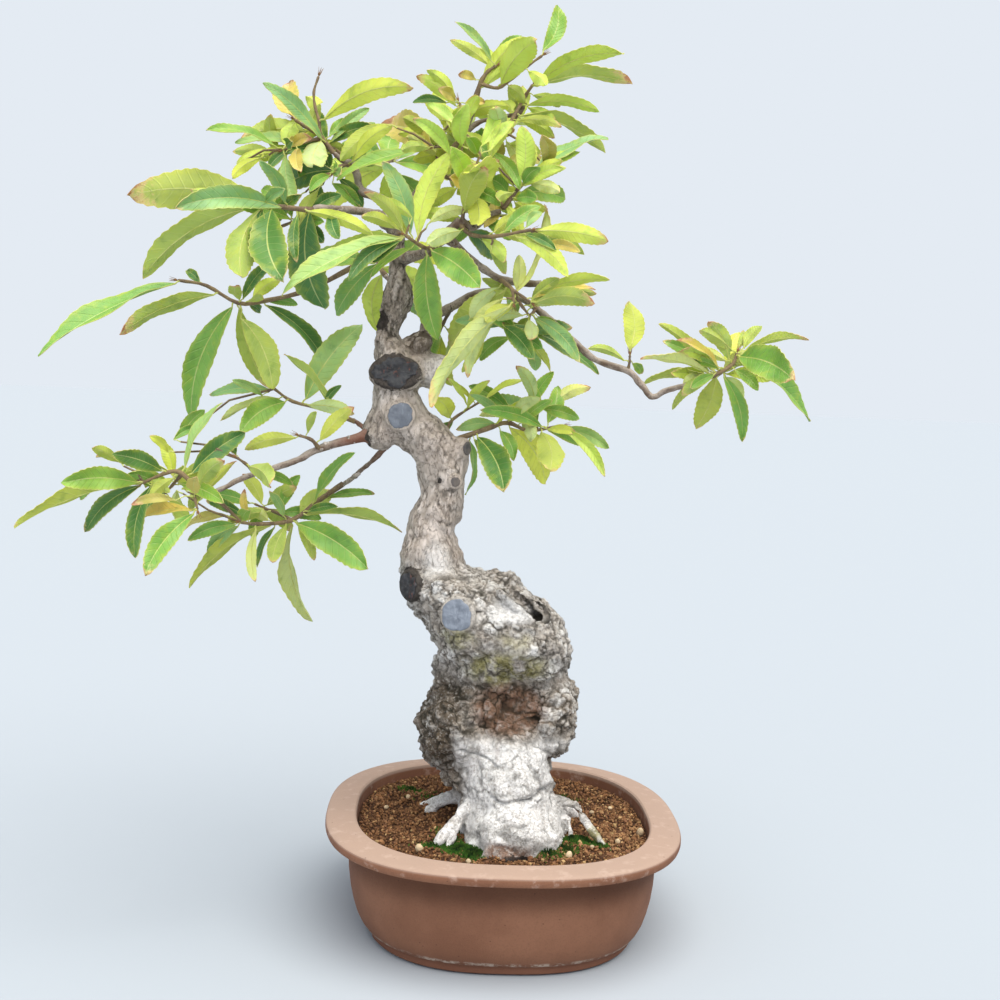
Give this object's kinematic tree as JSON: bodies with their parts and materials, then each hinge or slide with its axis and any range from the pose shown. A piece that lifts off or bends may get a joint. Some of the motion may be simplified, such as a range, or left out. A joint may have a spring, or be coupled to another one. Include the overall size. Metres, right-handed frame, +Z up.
{
  "type": "potted chestnut-leaved oak bonsai",
  "caption": "Gnarled informal bonsai oak with burled pale trunk, sparse toothed leaves on long limbs, standing in an oval unglazed clay training pot filled with soil.",
  "frame": {"origin": "middle of the pot's flat underside, on the surface the pot stands on", "axes": "+Z up along the tree's height; +X across the pot's narrow side, to the right of the front view; +Y away from the front view, along the pot's long side"},
  "size_m": [0.783, 0.4499, 0.9285],
  "materials": {
    "unglazed_clay": "unglazed fired clay, matt",
    "drain_mesh": "dark plastic mesh",
    "akadama_soil": "loose baked-clay grit with moss",
    "bark": "rough pale cracked bark",
    "grey_cut_paste": "dried wound paste",
    "dark_cut_paste": "dried wound paste",
    "oak_leaf": "thin satin leaves on woody twigs"
  },
  "bodies": {
    "root": {"pot": "unglazed_clay", "drain_mesh_front": "drain_mesh", "drain_mesh_back": "drain_mesh", "soil": "akadama_soil", "trunk": "bark", "seal_lower_front": "grey_cut_paste", "seal_left_edge": "dark_cut_paste", "seal_stem_foot": "dark_cut_paste", "seal_stem_mid": "grey_cut_paste", "seal_right_edge": "grey_cut_paste", "seal_small_front": "grey_cut_paste", "spray_far_left": "oak_leaf", "spray_left_hanging": "oak_leaf", "spray_upper_left": "oak_leaf", "spray_upper_left_inner": "oak_leaf", "spray_crown_left": "oak_leaf", "spray_crown_top": "oak_leaf", "spray_crown_right": "oak_leaf", "spray_crown_middle": "oak_leaf", "spray_crown_low": "oak_leaf", "spray_centre": "oak_leaf", "spray_centre_right": "oak_leaf", "spray_right_hanging": "oak_leaf", "spray_middle_hanging": "oak_leaf", "spray_middle_right": "oak_leaf", "spray_middle_back": "oak_leaf", "spray_right_upright": "oak_leaf", "spray_right_tip": "oak_leaf", "spray_lower_right": "oak_leaf", "spray_right_thin": "oak_leaf", "spray_lower_left_tip": "oak_leaf", "spray_lower_left_middle": "oak_leaf", "spray_left_middle": "oak_leaf", "spray_left_low": "oak_leaf", "spray_left_outer": "oak_leaf", "spray_back_crown": "oak_leaf", "spray_back_stem": "oak_leaf"}
  },
  "joints": []
}
